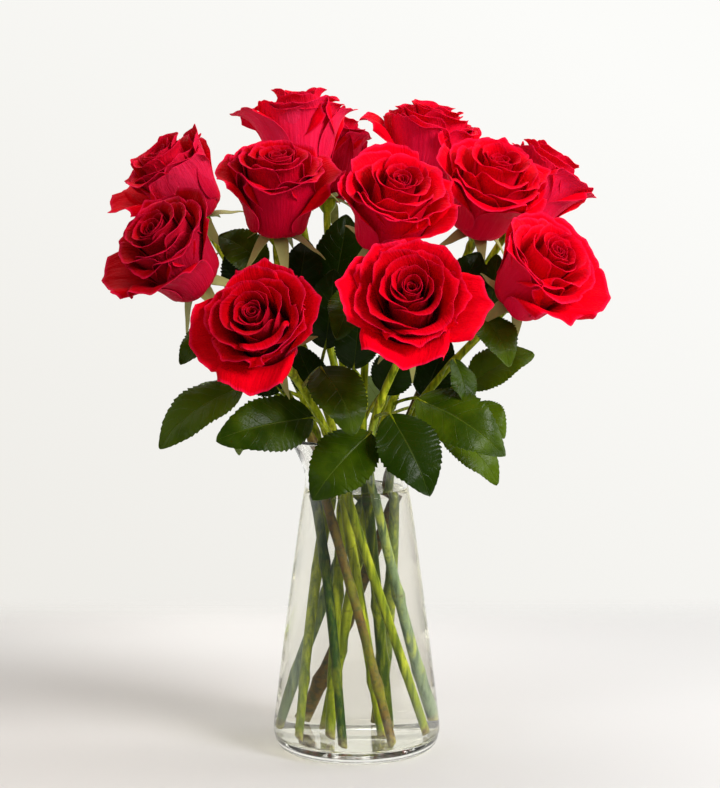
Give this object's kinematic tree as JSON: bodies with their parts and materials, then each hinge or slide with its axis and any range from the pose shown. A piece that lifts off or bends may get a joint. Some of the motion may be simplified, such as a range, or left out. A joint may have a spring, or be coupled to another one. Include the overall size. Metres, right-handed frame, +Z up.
{
  "type": "rose bouquet in a vase",
  "caption": "Long-stemmed red roses with serrated leaves, standing in a tapered clear glass vase with a flared lip, part filled with water",
  "frame": {"origin": "middle of the vase's flat underside, on the surface that it stands on", "axes": "+Z up along the vase's axis, -Y towards the viewer of the bouquet's front, +X to that viewer's right"},
  "size_m": [0.3225, 0.2799, 0.4281],
  "materials": {
    "glass": "clear polished glass, faintly green where it is thick",
    "water": "clear still water",
    "petal": "velvety crimson petals, satin sheen on their backs",
    "stem": "semi-gloss green stems and leaves"
  },
  "bodies": {
    "root": {"vase": "glass", "water": "water", "rose_01_bloom": "petal", "rose_01_stem": "stem", "rose_02_bloom": "petal", "rose_02_stem": "stem", "rose_03_bloom": "petal", "rose_03_stem": "stem", "rose_04_bloom": "petal", "rose_04_stem": "stem", "rose_05_bloom": "petal", "rose_05_stem": "stem", "rose_06_bloom": "petal", "rose_06_stem": "stem", "rose_07_bloom": "petal", "rose_07_stem": "stem", "rose_08_bloom": "petal", "rose_08_stem": "stem", "rose_09_bloom": "petal", "rose_09_stem": "stem", "rose_10_bloom": "petal", "rose_10_stem": "stem", "rose_11_bloom": "petal", "rose_11_stem": "stem", "rose_12_bloom": "petal", "rose_12_stem": "stem"}
  },
  "joints": []
}
